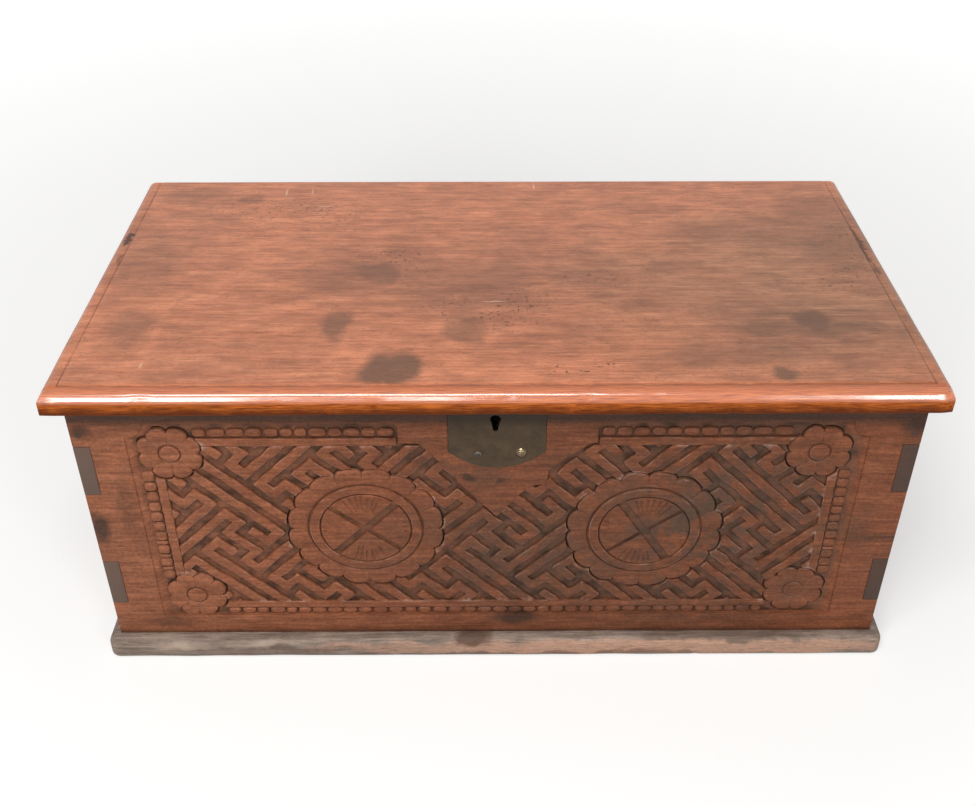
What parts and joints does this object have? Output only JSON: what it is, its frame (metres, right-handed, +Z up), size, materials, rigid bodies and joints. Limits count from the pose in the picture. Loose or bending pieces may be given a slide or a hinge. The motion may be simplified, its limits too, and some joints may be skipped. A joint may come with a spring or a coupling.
{
  "type": "blanket chest",
  "caption": "Low finger-jointed wooden chest with a carved fret front, rounded base plank, hinged plank lid and an iron lock that bolts the lid down.",
  "frame": {"origin": "on the floor under the middle of the lid", "axes": "+X to the right seen from the carved front, +Y to the back, +Z up"},
  "size_m": [0.828, 0.425, 0.355],
  "materials": {
    "carved_teak": "carved, worn oil and wax",
    "plain_teak": "planed, worn oil and wax",
    "lid_teak": "polished wax",
    "base_teak": "worn and bare at the edge",
    "forged_iron": "hammered, dark oxide",
    "lock_plate_metal": "dark patina",
    "stud_brass": "dull, rubbed bright on top"
  },
  "bodies": {
    "carcass": {"front_board": "carved_teak", "back_board": "plain_teak", "left_side_board": "plain_teak", "right_side_board": "plain_teak", "base_board": "base_teak", "base_nails": "forged_iron", "corner_nails": "forged_iron", "lock_plate": "lock_plate_metal", "lock_plate_tack": "lock_plate_metal", "lock_plate_stud": "stud_brass", "lock_case": "forged_iron", "lock_cap": "forged_iron", "lock_cap_rivets": "forged_iron", "lock_key_pin": "forged_iron", "lock_bolt_guides": "forged_iron", "lock_nails": "forged_iron", "left_hinge_leaf": "forged_iron", "right_hinge_leaf": "forged_iron", "left_hinge_pin": "forged_iron", "right_hinge_pin": "forged_iron", "hinge_leaf_nails": "forged_iron"},
    "lid": {"lid_board": "lid_teak", "left_hinge_strap": "forged_iron", "right_hinge_strap": "forged_iron", "hinge_strap_nails": "forged_iron", "keeper_plate": "forged_iron", "keeper_staple": "forged_iron", "keeper_nails": "forged_iron"},
    "bolt": {"lock_bolt": "forged_iron", "lock_bolt_spring": "forged_iron"}
  },
  "joints": [
    {"name": "lid_hinge", "type": "hinge", "parent": "carcass", "child": "lid", "pos_m": [0, 0.1974, 0.3272], "axis": [-1, 0, 0], "range_deg": [0, 118]},
    {"name": "bolt_slide", "type": "slide", "parent": "carcass", "child": "bolt", "axis": [1, 0, 0], "range_m": [0, 0.0125]}
  ]
}
